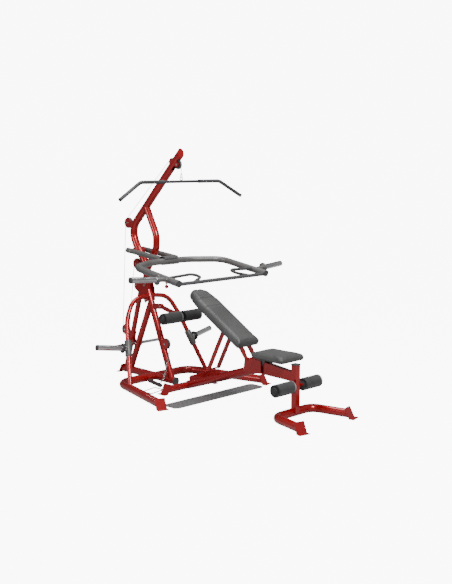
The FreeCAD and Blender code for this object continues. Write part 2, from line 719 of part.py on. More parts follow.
def pop_pin():
    """The sprung pin under the right arm that locks the hand grips; it pulls down."""
    top = V(-22, -502, 1052)
    barrel = bar("pop_barrel", V(top.x, top.y, 1020), V(top.x, top.y, 1034), "22")
    stem = bar("pop_stem", V(top.x, top.y, 1000), V(top.x, top.y, 1020), "10")
    knob = doc.addObject("Part::Sphere", "pop_knob")
    knob.Radius = 16
    knob.Placement.Base = V(top.x, top.y, 996)
    clear = swept("pop_clear", yoke_points(), YOKE_BENDS, "@yoke_dia + 2 * @free_gap")
    node("arm_pop_pin", cut("arm_pop_pin", fuse("pop_body", barrel, stem, knob), clear))


# ---- lat bar ----
def lat_station():
    points = [V(-370, -693, 1693), V(-402, -452, 1829), V(-402, 452, 1829), V(-370, 693, 1693)]
    hollow, outer = tube("lat_bar", points, [90, 90], "@lat_bar_dia")
    plugs = []
    for side, end, before in (("right", points[0], points[1]), ("left", points[3], points[2])):
        inward = (before - end).normalize()
        plugs.append(bar(f"lat_plug_{side}", end, end + inward * 8, "@lat_bar_dia - 2 * @tube_wall"))
    node("lat_bar", fuse("lat_bar", hollow, *plugs))
    ring = doc.addObject("Part::Torus", "lat_eye")
    ring.Radius1 = 14
    ring.Radius2 = 3.5
    ring.Placement = turned(V(-402, 0, 1855), V(1, 0, 0))
    link = doc.addObject("Part::Torus", "lat_link")
    link.Radius1 = 11
    link.Radius2 = 3
    link.Placement = turned(V(-402, 0, 1876), LEFT)
    ferrule = bar("lat_ferrule", V(-402, 0, 1886), V(-402, 0, 1899), "12")
    bar_clear = cross_bar("lat_clear", V(-402, 0, 1829), 60, "@lat_bar_dia")
    node("lat_hook", group("lat_hook", cut("lat_eye_cut", ring, bar_clear), fuse("lat_snap", link, ferrule)))


# ---- weight carriage ----
def weight_carriage():
    """A sleeve that slides up the brace, with the bar for the plates and the cable's wheel."""
    axis = BRACE[0] + (BRACE[1] - BRACE[0]) * 0.612
    half = BRACE_UP * (size("carriage_long") / 2)
    sleeve = bar("carriage_sleeve", axis - half, axis + half, "@carriage_dia")
    bore = bar("carriage_bore", axis - half * 1.2, axis + half * 1.2, "@brace_dia + 2 * @free_gap")
    front = strap_pair("carriage_front", axis, WEIGHT_BAR, 32, "plate_thick", 18)
    rear = strap_pair("carriage_rear", axis, CARRIAGE_SHEAVE, 44, "plate_thick", 13.5)
    ear = []
    for side, sign in SIDES:
        ear.append(cross_bar(f"carriage_disc_{side}", CARRIAGE_SHEAVE + LEFT * (13.5 * sign), 3, "92"))
    body = fuse("carriage_body", sleeve, *front, *rear, *ear)
    bar_hole = cross_bar("carriage_bar_hole", WEIGHT_BAR, 60, "@weight_bar_dia")
    bolt_hole = cross_bar("carriage_bolt_hole", CARRIAGE_SHEAVE, 60, "@axle_dia")
    node("weight_carriage", cut("weight_carriage", body, bore, bar_hole, bolt_hole))
    long_bar = cross_bar("weight_bar", WEIGHT_BAR, 313, "@weight_bar_dia")
    flanges = []
    for side, sign in SIDES:
        start = WEIGHT_BAR + LEFT * (60 * sign)
        flanges.append(bar(f"weight_flange_{side}", start, start + LEFT * (6 * sign), "66"))
    shaft = fuse("weight_shaft", long_bar, *flanges)
    node("carriage_shafts", group("carriage_shafts", shaft, bolt("carriage_bolt", CARRIAGE_SHEAVE, 16.5)))


# ---- bench ----
BENCH_AXIS = [V(-325, 0, 39), V(545, 0, 332)]
BACK_LEAN = math.radians(30.2)
BACK_LOW = V(447, 0, 537)
BACK_UP = V(-math.cos(BACK_LEAN), 0, math.sin(BACK_LEAN))
BACK_OUT = V(math.sin(BACK_LEAN), 0, math.cos(BACK_LEAN))


def on_back(along, depth):
    """A point in the side view of the back rest: along it from its low end, and below its face."""
    place = BACK_LOW + BACK_UP * along - BACK_OUT * depth
    return (place.x, place.z)


RACK_START = 50
RACK_PITCH = 36.5
RACK_TEETH = 10
RACK_VALLEY = 58
RACK_TOP = 74


def rack_outline():
    """Sloping teeth along the top of the bench's spine."""
    run = (BENCH_AXIS[1] - BENCH_AXIS[0]).normalize()
    rise = V(-run.z, 0, run.x)
    base = BENCH_AXIS[0]
    last = RACK_START + RACK_PITCH * RACK_TEETH
    outline = [base + run * last + rise * 20, base + run * RACK_START + rise * 20]
    for tooth in range(RACK_TEETH):
        start = RACK_START + tooth * RACK_PITCH
        outline.append(base + run * start + rise * RACK_VALLEY)
        outline.append(base + run * (start + RACK_PITCH * 0.6) + rise * RACK_TOP)
        outline.append(base + run * (start + RACK_PITCH * 0.94) + rise * RACK_TOP)
    outline.append(base + run * last + rise * RACK_VALLEY)
    return [(p.x, p.z) for p in outline]


def bench_frame():
    hollow, spine = tube("bench_spine", BENCH_AXIS, [], "@bench_spine_dia")
    rear_axis = V(-325, 0, BENCH_FOOT_HIGH)
    rear_points = [rear_axis - LEFT * 300, rear_axis + LEFT * 300]
    foot_hollow, rear_foot = tube("bench_rear", rear_points, [], "@bench_foot_dia")
    rack = cut("rack", extruded("strut_rack", rack_outline(), "@rack_wide"), spine)
    node("bench_spine", cut("bench_spine_cut", fuse("bench_spine_body", hollow, rack), rear_foot))
    plates = []
    trims = []
    for side, sign in SIDES:
        ground = V(-325, 240 * sign, 0)
        plates.append(foot_plate(f"bench_rear_plate_{side}", ground, LEFT * sign))
        trims.append(foot_trim(f"bench_rear_trim_{side}", ground, LEFT * sign))
    rear = cut("bench_rear_tube", foot_hollow, *trims)
    corner = [V(1300, 306, BENCH_FOOT_HIGH), V(915, 217, BENCH_FOOT_HIGH)]
    points = corner + [V(p.x, -p.y, p.z) for p in reversed(corner)]
    front_hollow, front = tube("bench_front", points, [95, 95], "@bench_front_dia")
    trims = []
    for side, sign in SIDES:
        ground = V(1225.5, 288.6 * sign, 0)
        heading = V(385, 89 * sign, 0)
        plates.append(foot_plate(f"bench_front_plate_{side}", ground, heading))
        trims.append(foot_trim(f"bench_front_trim_{side}", ground, heading))
    front_tube = cut("bench_front_tube", front_hollow, *trims)
    node("bench_foot_tubes", group("bench_foot_tubes", rear, front_tube))
    node("bench_foot_plates", group("bench_foot_plates", *plates))
    front_frame(spine, front)


def front_frame(spine, front_foot):
    """The beam under the seat, the front post, the hinge cheeks and the roller axle."""
    wide = "@post_wide"
    within = "@post_wide - 2 * @tube_wall"
    wall = size("tube_wall")
    solid_beam = extruded("beam_outer", [(520, 408), (913, 364), (913, 290), (520, 296)], wide)
    beam_room = extruded("beam_inner", [(520, 405), (910, 361), (910, 293), (520, 299)], within)
    beam = cut("beam", solid_beam, beam_room)
    solid_post = doc.addObject("Part::Box", "post_outer")
    solid_post.Height = 384
    bind(solid_post, Length=wide, Width=wide)
    solid_post.Placement.Base = V(912, -size("post_wide") / 2, 39)
    post_room = doc.addObject("Part::Box", "post_inner")
    post_room.Height = 390
    bind(post_room, Length=within, Width=within)
    post_room.Placement.Base = V(912 + wall, wall - size("post_wide") / 2, 36)
    post = cut("post", solid_post, post_room)
    outline = [(395, 288), (420, 410), (440, 420), (462, 412), (600, 402), (600, 300)]
    cheeks = [extruded(f"hinge_cheek_{side}", outline, "5", 41 * sign) for side, sign in SIDES]
    axle = cross_bar("front_axle", ROLLER_AXLE, 260, "@roller_axle_dia")
    ends = axle_ends("front_axle_end", ROLLER_AXLE, 260)
    block = fuse("front_block", beam, post, axle, *ends)
    seat_bore = cross_bar("seat_bore", SEAT_HINGE, 40, "@pin_dia + 2 * @running_gap")
    back_bore = cross_bar("back_bore", BACK_HINGE, 80, "@pin_dia + 2 * @running_gap")
    bored = [cut(f"hinge_cheek_cut_{i}", cheek, spine, back_bore) for i, cheek in enumerate(cheeks)]
    spacers = [cross_bar(f"hinge_spacer_{side}", V(578, 31.7 * sign, 350), 6.7, "14") for side, sign in SIDES]
    spacers = [cut(f"hinge_spacer_cut_{i}", s, spine) for i, s in enumerate(spacers)]
    body = cut("front_body", block, spine, front_foot, seat_bore)
    node("bench_front_frame", body)
    node("bench_hinge_cheeks", group("bench_hinge_cheeks", *bored, *spacers))
    cap = doc.addObject("Part::Box", "post_cap")
    cap.Height = 9
    bind(cap, Length="@post_wide + 6", Width="@post_wide + 6")
    cap.Placement.Base = V(909, -size("post_wide") / 2 - 3, 423)
    node("bench_post_cap", cap)
    node("bench_rollers", foam_pair("bench_foam", ROLLER_AXLE, 60, 257))


def back_rest():
    """The back pad on two rails that hinge on the cheeks, and the struts that prop it."""
    pad_thick = size("pad_thick")
    side_view = [(BACK_HINGE.x + 14, BACK_HINGE.z - 14), (BACK_HINGE.x + 16, BACK_HINGE.z + 8),
                 on_back(-10, pad_thick + 4), on_back(4, pad_thick), on_back(560, pad_thick),
                 on_back(560, pad_thick + 20), on_back(360, pad_thick + 34),
                 on_back(40, pad_thick + 40), (BACK_HINGE.x - 16, BACK_HINGE.z - 10)]
    rails = [extruded(f"back_rail_{side}", side_view, "5", 47.5 * sign) for side, sign in SIDES]
    pin = cross_bar("back_pin", BACK_HINGE, 54, "@pin_dia")
    tie_x, tie_z = on_back(500, pad_thick + 10)
    tie = cross_bar("back_tie", V(tie_x, 0, tie_z), 46, "16")
    strut_pin = cross_bar("strut_pin", STRUT_TOP, 68, "@axle_dia")
    node("back_frame", fuse("back_frame", *rails, pin, tie, strut_pin))
    half = size("pad_wide") / 2
    long = size("pad_long")
    half_outline = [(6, half - 10), (20, half), (long - 155, half), (long - 45, half - 32), (long, half - 82)]
    outline = [(x, -y) for x, y in half_outline] + list(reversed(half_outline))
    lean = FreeCAD.Rotation(BACK_UP, BACK_OUT.cross(BACK_UP), BACK_OUT, "XZY")
    place = FreeCAD.Placement(BACK_LOW - BACK_OUT * (pad_thick / 2), lean)
    node("back_pad", extruded("back_pad", outline, "@pad_thick", plane="XY_Plane", where=place))
    struts = []
    for side, sign in SIDES:
        shift = LEFT * (57.5 * sign)
        link = bar(f"strut_bar_{side}", STRUT_TOP + shift, STRUT_FOOT + shift, "@strut_dia")
        eye = cross_bar(f"strut_eye_{side}", STRUT_TOP + shift, 6.5, "24")
        bore = cross_bar(f"strut_bore_{side}", STRUT_TOP, 90, "@axle_dia + 2 * @running_gap")
        struts.append(cut(f"strut_{side}", fuse(f"strut_body_{side}", link, eye), bore))
    foot = cross_bar("strut_foot", STRUT_FOOT, 60, "@strut_dia")
    node("back_struts", fuse("back_struts", *struts, foot))


def seat():
    side_view = [(566, 368), (566, 440), (850, 440), (850, 424), (640, 418), (604, 366), (598, 361),
                 (575, 361)]
    rails = [extruded(f"seat_rail_{side}", side_view, "5", 28.2 * sign) for side, sign in SIDES]
    pin = cross_bar("seat_pin", SEAT_HINGE, 33, "@pin_dia")
    node("seat_frame", fuse("seat_frame", *rails, pin))
    half_outline = [(552, 128), (566, 137), (896, 152), (922, 130)]
    outline = [(x, -y) for x, y in half_outline] + list(reversed(half_outline))
    place = FreeCAD.Placement(V(0, 0, 440 + size("seat_thick") / 2), FreeCAD.Rotation())
    node("seat_pad", extruded("seat_pad", outline, "@seat_thick", plane="XY_Plane", where=place))


def build():
    boom = boom_frame()
    loop_tube(boom)
    spine, runners = base_frame()
    front_leg = legs(boom, spine)
    caps, arches = arches_and_storage(front_leg, boom, runners)
    caps.append(bar("spine_cap", V(-500, 0, BASE_HIGH), V(-490, 0, BASE_HIGH), "@base_dia"))
    node("tower_end_caps", group("tower_end_caps", *caps))
    head_plates(arches)
    arm_pivot()
    tip_bracket()
    pulley_bracket("rear_pulley_bracket", REAR_SHEAVE, V(-1070, 0, 1400), [boom])
    pulley_bracket("mid_pulley_bracket", MID_SHEAVE, V(-900, 0, 1050), [boom])
    pulley_bracket("low_pulley_bracket", LOW_SHEAVE, V(-685, 0, 378), [front_leg])
    sheave("tip_front_pulley", TIP_FRONT_SHEAVE, "sheave_small_radius")
    sheave("tip_upper_pulley", TIP_UPPER_SHEAVE, "sheave_tip_radius")
    sheave("rear_pulley", REAR_SHEAVE, "sheave_radius")
    sheave("mid_pulley", MID_SHEAVE, "sheave_radius")
    sheave("low_pulley", LOW_SHEAVE, "sheave_radius")
    sheave("carriage_pulley", CARRIAGE_SHEAVE, "sheave_radius")
    tower_bolts()
    hold_down(front_leg)
    cable_over_boom()
    cable_spans()
    low_cable_and_chain(front_leg, boom)
    floor_pieces()
    press_arm()
    lat_station()
    weight_carriage()
    bench_frame()
    back_rest()
    seat()


def export():
    """Check every object, then write each sub-part to its own file."""
    doc.recompute()
    for thing in doc.Objects:
        if "Invalid" in thing.State or "Error" in thing.State:
            raise RuntimeError(f"{thing.Label} did not build: {thing.State}")
    os.makedirs("parts", exist_ok=True)
    for thing in nodes:
        if thing.Shape.isNull() or not thing.Shape.isValid():
            raise RuntimeError(f"{thing.Label} has no valid shape")
        thing.Shape.exportStep(f"parts/{thing.Label}.step")
    print(len(nodes), "sub-parts")


build()
export()
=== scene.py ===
"""The looks of the home gym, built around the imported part. Metres, in the part's own frame:
+X from the tower to the foot end of the bench, +Y to the left side, +Z up."""
import json
import math

import bpy
from mathutils import Matrix, Vector
from mathutils.bvhtree import BVHTree


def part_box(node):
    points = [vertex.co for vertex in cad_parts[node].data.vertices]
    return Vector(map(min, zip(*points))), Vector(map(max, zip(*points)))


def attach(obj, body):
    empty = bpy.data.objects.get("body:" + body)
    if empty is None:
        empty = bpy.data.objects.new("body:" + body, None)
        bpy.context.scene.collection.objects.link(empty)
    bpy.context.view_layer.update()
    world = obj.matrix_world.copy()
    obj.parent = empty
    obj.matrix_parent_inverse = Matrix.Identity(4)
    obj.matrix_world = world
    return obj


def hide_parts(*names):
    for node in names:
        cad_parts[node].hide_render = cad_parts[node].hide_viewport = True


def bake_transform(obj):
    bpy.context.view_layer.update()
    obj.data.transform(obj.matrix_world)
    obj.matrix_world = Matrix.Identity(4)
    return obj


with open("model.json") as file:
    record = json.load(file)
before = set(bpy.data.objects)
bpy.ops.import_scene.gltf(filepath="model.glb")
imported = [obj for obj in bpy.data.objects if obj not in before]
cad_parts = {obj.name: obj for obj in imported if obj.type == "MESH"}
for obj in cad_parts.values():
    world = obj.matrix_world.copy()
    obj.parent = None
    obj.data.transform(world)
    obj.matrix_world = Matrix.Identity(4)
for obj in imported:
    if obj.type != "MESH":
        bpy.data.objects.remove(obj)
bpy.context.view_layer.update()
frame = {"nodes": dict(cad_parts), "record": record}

UP = Vector((0, 0, 1))
LEFT = Vector((0, 1, 0))
SIGNS = (1, -1)  # the left side and the right side, along Y


# ---- materials ----
def add_node(mat, kind, links=None, **settings):
    """A shader node with its settings and inputs; links are sockets to connect by input name."""
    made = mat.node_tree.nodes.new(kind)
    for name, value in settings.items():
        setattr(made, name, value)
    for name, value in (links or {}).items():
        if isinstance(value, bpy.types.NodeSocket):
            mat.node_tree.links.new(value, made.inputs[name])
        else:
            made.inputs[name].default_value = value
    return made


def noise(mat, place, scale, detail=3.0):
    links = {"Vector": place, "Scale": scale, "Detail": detail}
    return add_node(mat, "ShaderNodeTexNoise", links).outputs["Fac"]


def cells(mat, place, scale):
    links = {"Vector": place, "Scale": scale}
    made = add_node(mat, "ShaderNodeTexVoronoi", links, feature="DISTANCE_TO_EDGE")
    return made.outputs["Distance"]


def spread(mat, value, low, high, from_low=0.3, from_high=0.7):
    links = {"Value": value, "From Min": from_low, "From Max": from_high,
             "To Min": low, "To Max": high}
    return add_node(mat, "ShaderNodeMapRange", links).outputs["Result"]


def ramp(mat, value, stops):
    made = add_node(mat, "ShaderNodeValToRGB", {"Fac": value})
    elements = made.color_ramp.elements
    while len(elements) < len(stops):
        elements.new(0.5)
    for element, (position, colour) in zip(elements, stops):
        element.position = position
        element.color = (*colour, 1.0)
    return made.outputs["Color"]


MIX_FACTOR, MIX_FIRST, MIX_SECOND, MIX_RESULT = 0, 6, 7, 2  # the colour sockets of a mix node


def mixed(mat, factor, first, second):
    made = add_node(mat, "ShaderNodeMix", data_type="RGBA")
    for place, value in ((MIX_FACTOR, factor), (MIX_FIRST, first), (MIX_SECOND, second)):
        socket = made.inputs[place]
        if isinstance(value, bpy.types.NodeSocket):
            mat.node_tree.links.new(value, socket)
        else:
            socket.default_value = value
    return made.outputs[MIX_RESULT]


SMEAR_FINER = 5       # how much finer the change of roughness is than the change of colour
EDGE_MOST = 0.55      # how much of the edge colour a rubbed edge shows
EDGE_FROM, EDGE_TO = 0.53, 0.60
RELIEF_STRENGTH = 0.7


def surface(name, dark, light, rough, grain, relief, patch=6.0, cell=False, streak=None,
            edge=None, **sockets):
    """A procedural finish: broad colour change, uneven roughness, and a fine relief.

    dark and light are the ends of the colour change, rough the range of roughness, grain the
    relief's scale and relief its depth in metres. streak stretches the relief along one axis,
    and edge is the colour that rubbed edges show.
    """
    mat = bpy.data.materials.new(name)
    mat.use_nodes = True
    shader = mat.node_tree.nodes["Principled BSDF"]
    for socket, value in sockets.items():
        shader.inputs[socket.replace("_", " ")].default_value = value
    place = add_node(mat, "ShaderNodeTexCoord").outputs["Object"]
    colour = ramp(mat, noise(mat, place, patch, 5.0), [(0.35, dark), (0.65, light)])
    if edge:
        point = add_node(mat, "ShaderNodeNewGeometry").outputs["Pointiness"]
        rubbed = spread(mat, point, 0.0, EDGE_MOST, EDGE_FROM, EDGE_TO)
        colour = mixed(mat, rubbed, colour, (*edge, 1.0))
    mat.node_tree.links.new(colour, shader.inputs["Base Color"])
    smear = noise(mat, place, patch * SMEAR_FINER, 4.0)
    mat.node_tree.links.new(spread(mat, smear, *rough), shader.inputs["Roughness"])
    where = place
    if streak:
        mapping = add_node(mat, "ShaderNodeMapping", {"Vector": place, "Scale": streak})
        where = mapping.outputs["Vector"]
    height = cells(mat, where, grain) if cell else noise(mat, where, grain, 2.0)
    bump = add_node(mat, "ShaderNodeBump", {"Height": height, "Distance": relief,
                                            "Strength": RELIEF_STRENGTH})
    mat.node_tree.links.new(bump.outputs["Normal"], shader.inputs["Normal"])
    return mat


FINISHES = {
    "red_frame": surface(
        "red_powder_coat", (0.300, 0.0035, 0.004), (0.360, 0.0050, 0.005), (0.24, 0.30), 300,
        0.00002, edge=(0.36, 0.010, 0.014), Metallic=0.45, Coat_Weight=0.5, Coat_Roughness=0.06),
    "red_knob": surface(
        "red_moulded_knob", (0.30, 0.002, 0.005), (0.38, 0.004, 0.008), (0.25, 0.35), 700, 0.00005,
        Coat_Weight=0.3),
    "grey_metal": surface(
        "grey_hammered_coat", (0.105, 0.102, 0.100), (0.128, 0.125, 0.122), (0.36, 0.46), 420,
        0.00006, edge=(0.15, 0.145, 0.145), Metallic=0.35, Coat_Weight=0.25, Coat_Roughness=0.25),
    "chrome": surface(
        "polished_chrome", (0.62, 0.62, 0.64), (0.80, 0.80, 0.82), (0.08, 0.20), 240, 0.00003,
        streak=(1.0, 0.06, 1.0), Metallic=1.0),
    "black_metal": surface(
        "black_satin_coat", (0.026, 0.026, 0.028), (0.040, 0.040, 0.043), (0.30, 0.44), 600,
        0.00008, edge=(0.10, 0.10, 0.105), Metallic=0.2, Coat_Weight=0.3, Coat_Roughness=0.2),
    "zinc": surface(
        "zinc_plate", (0.42, 0.42, 0.41), (0.60, 0.60, 0.60), (0.24, 0.40), 380, 0.00005,
        patch=24.0, Metallic=1.0),
    "black_plastic": surface(
        "black_moulded_plastic", (0.014, 0.014, 0.015), (0.026, 0.026, 0.027), (0.42, 0.58), 900,
        0.00010, edge=(0.07, 0.07, 0.07)),
    "pad_vinyl": surface(
        "black_grained_vinyl", (0.040, 0.0395, 0.039), (0.050, 0.0495, 0.049), (0.44, 0.56), 520,
        0.00035, cell=True, Specular_IOR_Level=0.45, Sheen_Weight=0.12, Sheen_Roughness=0.4),
    "foam": surface(
        "dense_black_foam", (0.020, 0.020, 0.0205), (0.030, 0.030, 0.031), (0.74, 0.88), 1100,
        0.0005, Specular_IOR_Level=0.3, Sheen_Weight=0.25, Sheen_Roughness=0.5),
    "tread_plate": surface(
        "grey_tread_plate", (0.060, 0.061, 0.063), (0.085, 0.087, 0.090), (0.50, 0.66), 300,
        0.00010, patch=14.0, edge=(0.20, 0.20, 0.205), Metallic=0.3),
    "cable_steel": surface(
        "coated_steel_cable", (0.20, 0.20, 0.205), (0.34, 0.34, 0.345), (0.26, 0.40), 900, 0.0003,
        streak=(1.0, 1.0, 0.25), Metallic=0.6, Coat_Weight=0.5),
    "grip_rubber": surface(
        "ribbed_grip_rubber", (0.030, 0.030, 0.031), (0.050, 0.050, 0.052), (0.56, 0.70), 620,
        0.0004, cell=True, Specular_IOR_Level=0.4),
}
slots_of = {part["node"]: part["material_slot"] for part in frame["record"]["subparts"]}


def coat(obj, slot):
    """Gives a piece or a CAD node the finish of a material slot."""
    if not obj.data.materials:
        obj.data.materials.append(FINISHES[slot])
    for place in obj.material_slots:
        place.material = FINISHES[slot]


for node_name, node_object in frame["nodes"].items():
    coat(node_object, slots_of[node_name])


# ---- mesh helpers ----
def piece(name, body, slot, verts, faces, smooth=True):
    """A mesh object in the part's frame that moves with a body."""
    mesh = bpy.data.meshes.new(name)
    mesh.from_pydata([tuple(v) for v in verts], [], faces)
    mesh.validate()
    mesh.update()
    obj = bpy.data.objects.new(name, mesh)
    bpy.context.scene.collection.objects.link(obj)
    dress(obj, body, slot, smooth)
    return obj


def dress(obj, body, slot, smooth=True):
    obj.data.polygons.foreach_set("use_smooth", [smooth] * len(obj.data.polygons))
    coat(obj, slot)
    if body:
        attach(obj, body)


def frame_of(direction):
    """Two directions square to a direction and to each other."""
    ahead = direction.normalized()
    helper = UP if abs(ahead.dot(UP)) < 0.9 else Vector((1, 0, 0))
    side = ahead.cross(helper).normalized()
    return side, side.cross(ahead)


def rings_to_faces(count, around, closed=False):
    """Quads between rings of points, each of the same count; closed joins the last to the first."""
    faces = []
    for ring in range(count if closed else count - 1):
        here = ring * around
        there = ((ring + 1) % count) * around
        for i in range(around):
            j = (i + 1) % around
            faces.append((here + i, here + j, there + j, there + i))
    return faces


def lathe(start, direction, profile, around=64, ripple=0.0):
    """Points and faces of a profile of (along, radius) turned about a line."""
    ahead = direction.normalized()
    side, over = frame_of(ahead)
    verts = []
    for along, radius in profile:
        for i in range(around):
            angle = 2 * math.pi * i / around
            uneven = ripple * math.sin(3 * angle + 40 * along) * math.sin(55 * along + angle)
            out = side * math.cos(angle) + over * math.sin(angle)
            verts.append(start + ahead * along + out * (radius + uneven))
    return verts, rings_to_faces(len(profile), around)


def sweep(points, radius, around=16, closed=False, capped=True):
    """A tube through points, its rings turned as little as possible."""
    count = len(points)
    verts = []
    side = None
    for i, point in enumerate(points):
        before = points[i - 1] if i or closed else point
        after = points[(i + 1) % count] if i + 1 < count or closed else point
        ahead = (after - before).normalized()
        if side is None:
            side, _ = frame_of(ahead)
        side = (side - ahead * side.dot(ahead)).normalized()
        over = side.cross(ahead)
        for k in range(around):
            angle = 2 * math.pi * k / around
            verts.append(point + (side * math.cos(angle) + over * math.sin(angle)) * radius)
    faces = rings_to_faces(count, around, closed)
    if capped and not closed:
        faces.append(tuple(range(around)))
        faces.append(tuple(reversed(range((count - 1) * around, count * around))))
    return verts, faces


def rounded_path(points, radii, steps=10):
    """Straight runs joined by arcs, one radius for each inner point."""
    path = [points[0]]
    for before, corner, after, radius in zip(points, points[1:], points[2:], radii):
        into = (corner - before).normalized()
        out = (after - corner).normalized()
        half = into.angle(out) / 2
        reach = radius * math.tan(half)
        centre = corner + (out - into).normalized() * (radius / math.cos(half))
        start = corner - into * reach - centre
        turn = into.cross(out).normalized()
        for i in range(steps + 1):
            path.append(centre + Matrix.Rotation(2 * half * i / steps, 3, turn) @ start)
    path.append(points[-1])
    return path


def join(shapes):
    """Several (points, faces) pairs as one."""
    verts, faces = [], []
    for shape_verts, shape_faces in shapes:
        base = len(verts)
        verts += shape_verts
        faces += [tuple(i + base for i in face) for face in shape_faces]
    return verts, faces


# ---- padded pieces ----
VOXEL = 0.008         # the size of the quads that a cover is made of before it is blown up
LAST_FRAME = 12       # the frame at which the blown cover is kept
BOARD_INSET = 0.014   # how far the board under a pad stays inside its outline
SEAM_FLOOR = 0.008    # a seam marks the cover only above this height from the board
THREAD_ROW = 0.0055   # the distance of a row of stitches from its seam
THREAD_RADIUS = 0.0005
THREAD_HALF = 0.0020
THREAD_RISE = 0.0004
THREAD_SINK = 0.0002
BACK_LEAN = math.radians(30.2)
BACK_UP = Vector((-math.cos(BACK_LEAN), 0, math.sin(BACK_LEAN)))
BACK_OUT = Vector((math.sin(BACK_LEAN), 0, math.cos(BACK_LEAN)))
BACK_PAD_THICK = 0.062
BACK_LOW = Vector((0.447, 0, 0.537)) - BACK_OUT * BACK_PAD_THICK
SEAT_PAD_BOTTOM = 0.440


def axes_place(origin, along, out):
    """A matrix with its X along a direction and its Z out of a face."""
    across = out.cross(along)
    turn = Matrix((along, across, out)).transposed()
    return Matrix.Translation(origin) @ turn.to_4x4()


def round_corners(corners, steps=9):
    """A closed outline of (x, y, radius) corners, counter-clockwise, with its corners rounded."""
    points = [Vector((x, y, 0)) for x, y, _ in corners]
    outline = []
    for i, (x, y, radius) in enumerate(corners):
        trio = [points[i - 1], points[i], points[(i + 1) % len(points)]]
        outline += rounded_path(trio, [radius], steps)[1:-1]
    return outline


def inset(outline, amount):
    moved = []
    for i, point in enumerate(outline):
        run = (outline[(i + 1) % len(outline)] - outline[i - 1]).normalized()
        moved.append(point + Vector((-run.y, run.x, 0)) * amount)
    return moved


def shell(outline, levels, place):
    """Points and faces of a closed form: the outline at several insets and heights."""
    verts = []
    for amount, height in levels:
        verts += [place @ Vector((p.x, p.y, height)) for p in inset(outline, amount)]
    around = len(outline)
    faces = rings_to_faces(len(levels), around)
    faces.append(tuple(reversed(range(around))))
    faces.append(tuple(range((len(levels) - 1) * around, len(levels) * around)))
    return verts, faces


def bake_modifiers(obj):
    """Replaces the object's mesh with what its modifiers make of it."""
    graph = bpy.context.evaluated_depsgraph_get()
    done = bpy.data.meshes.new_from_object(obj.evaluated_get(graph))
    obj.modifiers.clear()
    obj.data = done


def swell(obj, place, board_height, cap):
    """Blows the cover up off its board with cloth pressure, each point by less than cap."""
    back = place.inverted()
    board = obj.vertex_groups.new(name="board")
    held = [v.index for v in obj.data.vertices if (back @ v.co).z < board_height]
    board.add(held, 1.0, "REPLACE")
    cloth = obj.modifiers.new("cloth", "CLOTH")
    settings = cloth.settings
    settings.quality = 3
    settings.mass = 0.3
    settings.tension_stiffness = 12
    settings.compression_stiffness = 12
    settings.shear_stiffness = 6
    settings.bending_stiffness = 0.4
    settings.use_pressure = True
    settings.uniform_pressure_force = 4.0
    settings.effector_weights.gravity = 0.0
    settings.vertex_group_mass = board.name
    cloth.point_cache.frame_end = LAST_FRAME
    for number in range(1, LAST_FRAME + 1):
        bpy.context.scene.frame_set(number)
    graph = bpy.context.evaluated_depsgraph_get()
    blown = [v.co.copy() for v in obj.evaluated_get(graph).data.vertices]
    obj.modifiers.clear()
    for vertex, target in zip(obj.data.vertices, blown):
        move = target - vertex.co
        if move.length > 1e-7:
            vertex.co += move.normalized() * cap * math.tanh(move.length / cap)
    obj.vertex_groups.clear()
    bpy.context.scene.frame_set(1)


def seam(obj, place, where, deep=0.0030, wide=0.0035):
    """A sewn channel across a pad at a distance along it."""
    back = place.inverted()
    pushes = []
    for vertex in obj.data.vertices:
        local = back @ vertex.co
        if local.z > SEAM_FLOOR:
            push = deep * math.exp(-((local.x - where) / wide) ** 2)
            pushes.append((vertex, vertex.normal * push))
    for vertex, push in pushes:
        vertex.co -= push


def stitches(obj, place, where, half, pitch=0.0070):
    """Short threads on the face of a pad, in a line across it."""
    tree = BVHTree.FromObject(obj, bpy.context.evaluated_depsgraph_get())
    down = -(place.to_3x3() @ UP)
    across = place.to_3x3() @ LEFT
    shapes = []
    count = int(half / pitch)
    for step in range(-count, count + 1):
        origin = place @ Vector((where, step * pitch, 0.2))
        hit, normal, _, _ = tree.ray_cast(origin, down)
        if hit is not None:
            run = (across - normal * across.dot(normal)).normalized() * THREAD_HALF
            sunk = normal * THREAD_SINK
            line = [hit - run - sunk, hit + normal * THREAD_RISE, hit + run - sunk]
            shapes.append(sweep(line, THREAD_RADIUS, 6))
    return shapes


def upholster(name, node, body, outline, levels, place, cap, seams, half):
    """A blown-up cover over a board, with stitched seams; it stands for a pad of the CAD.

    levels are the (inset, height) steps of the form before it is blown up, cap the most that
    the pressure moves a point, and half the half width of the rows of stitches.
    """
    verts, faces = shell(outline, levels, place)
    pad = piece(name, body=None, slot="pad_vinyl", verts=verts, faces=faces)
    remesh = pad.modifiers.new("remesh", "REMESH")
    remesh.mode = "VOXEL"
    remesh.voxel_size = VOXEL
    remesh.use_smooth_shade = True
    bake_modifiers(pad)
    swell(pad, place, levels[1][1], cap)
    finer = pad.modifiers.new("finer", "SUBSURF")
    finer.levels = 1
    bake_modifiers(pad)
    pad.name = name
    for where in seams:
        seam(pad, place, where)
    dress(pad, body, "pad_vinyl")
    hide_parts(node)
    threads = []
    for where in seams:
        for offset in (-THREAD_ROW, THREAD_ROW):
            threads += stitches(pad, place, where + offset, half)
    if threads:
        piece(name + "_stitches", body, "black_plastic", *join(threads))
    board_outline = inset(outline, BOARD_INSET)
    verts, faces = shell(board_outline, [(0.0, -0.0004), (0.0, 0.0015), (0.002, 0.0024)], place)
    piece(name + "_board", body, "black_plastic", verts, faces, smooth=False)


